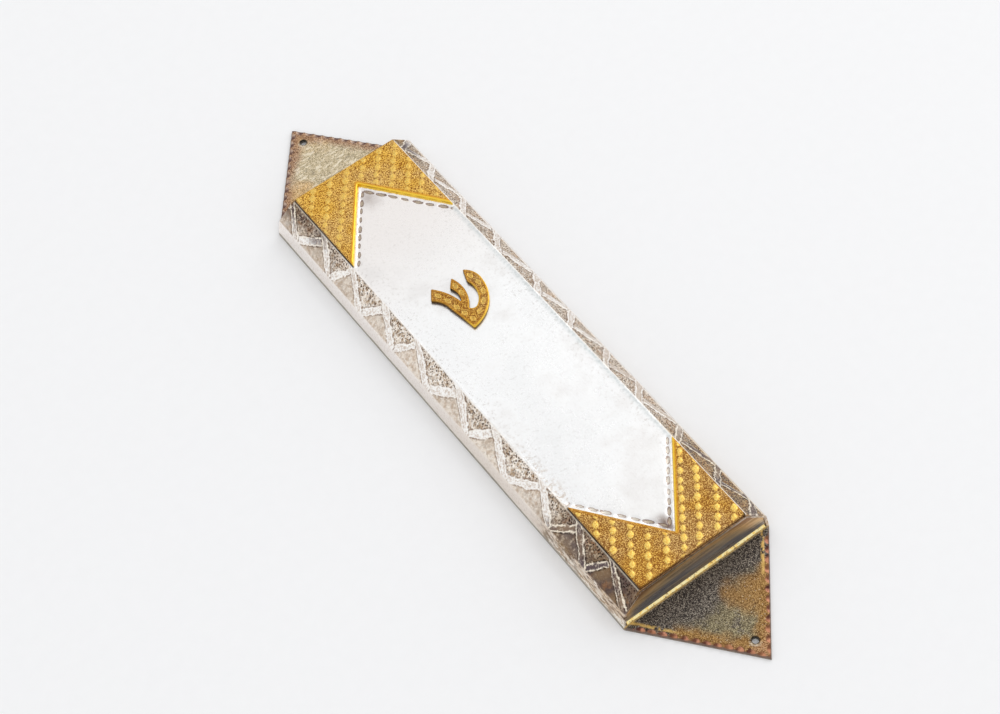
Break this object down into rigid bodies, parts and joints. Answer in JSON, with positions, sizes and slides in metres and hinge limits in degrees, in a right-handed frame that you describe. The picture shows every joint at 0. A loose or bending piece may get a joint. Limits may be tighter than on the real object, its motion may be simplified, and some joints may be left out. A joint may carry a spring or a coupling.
{
  "type": "mezuzah case",
  "caption": "Long mezuzah case with pointed nail ears, a folded silver housing, brass V plates, a raised letter, and a brass back plate that slides out to reach the scroll.",
  "frame": {"origin": "middle of the back face, the face that lies on the doorpost", "axes": "+Y along the length to the upper end, where the letter stands upright; +Z out of the front face; +X to the right seen from the front"},
  "size_m": [0.037, 0.172, 0.0102],
  "materials": {
    "frame_silver": "silver sheet with a dark olive and gold patina, stippled, with filed copper-toned edges",
    "shell_silver": "polished silver top, engraved zigzag bands over stippled oxidised sides",
    "wall_silver": "dark polished silver with heat tints",
    "cover_brass": "bright worn brass sheet",
    "rail_silver": "plain silver strip with solder at its root",
    "chevron_brass": "stippled matt brass with rows of bright beads and a polished bevel",
    "letter_brass": "beaded matt brass with a bright bevel",
    "parchment": "blank rolled parchment"
  },
  "bodies": {
    "case": {"back_frame": "frame_silver", "cover_shell": "shell_silver", "upper_end_wall": "wall_silver", "lower_end_wall": "wall_silver", "left_rail": "rail_silver", "right_rail": "rail_silver", "upper_chevron": "chevron_brass", "lower_chevron": "chevron_brass", "shin_letter": "letter_brass", "scroll": "parchment"},
    "slide_cover": {"slide_cover": "cover_brass"}
  },
  "joints": [
    {"name": "cover_slide", "type": "slide", "parent": "case", "child": "slide_cover", "axis": [0, -1, 0], "range_m": [0, 0.118]}
  ]
}
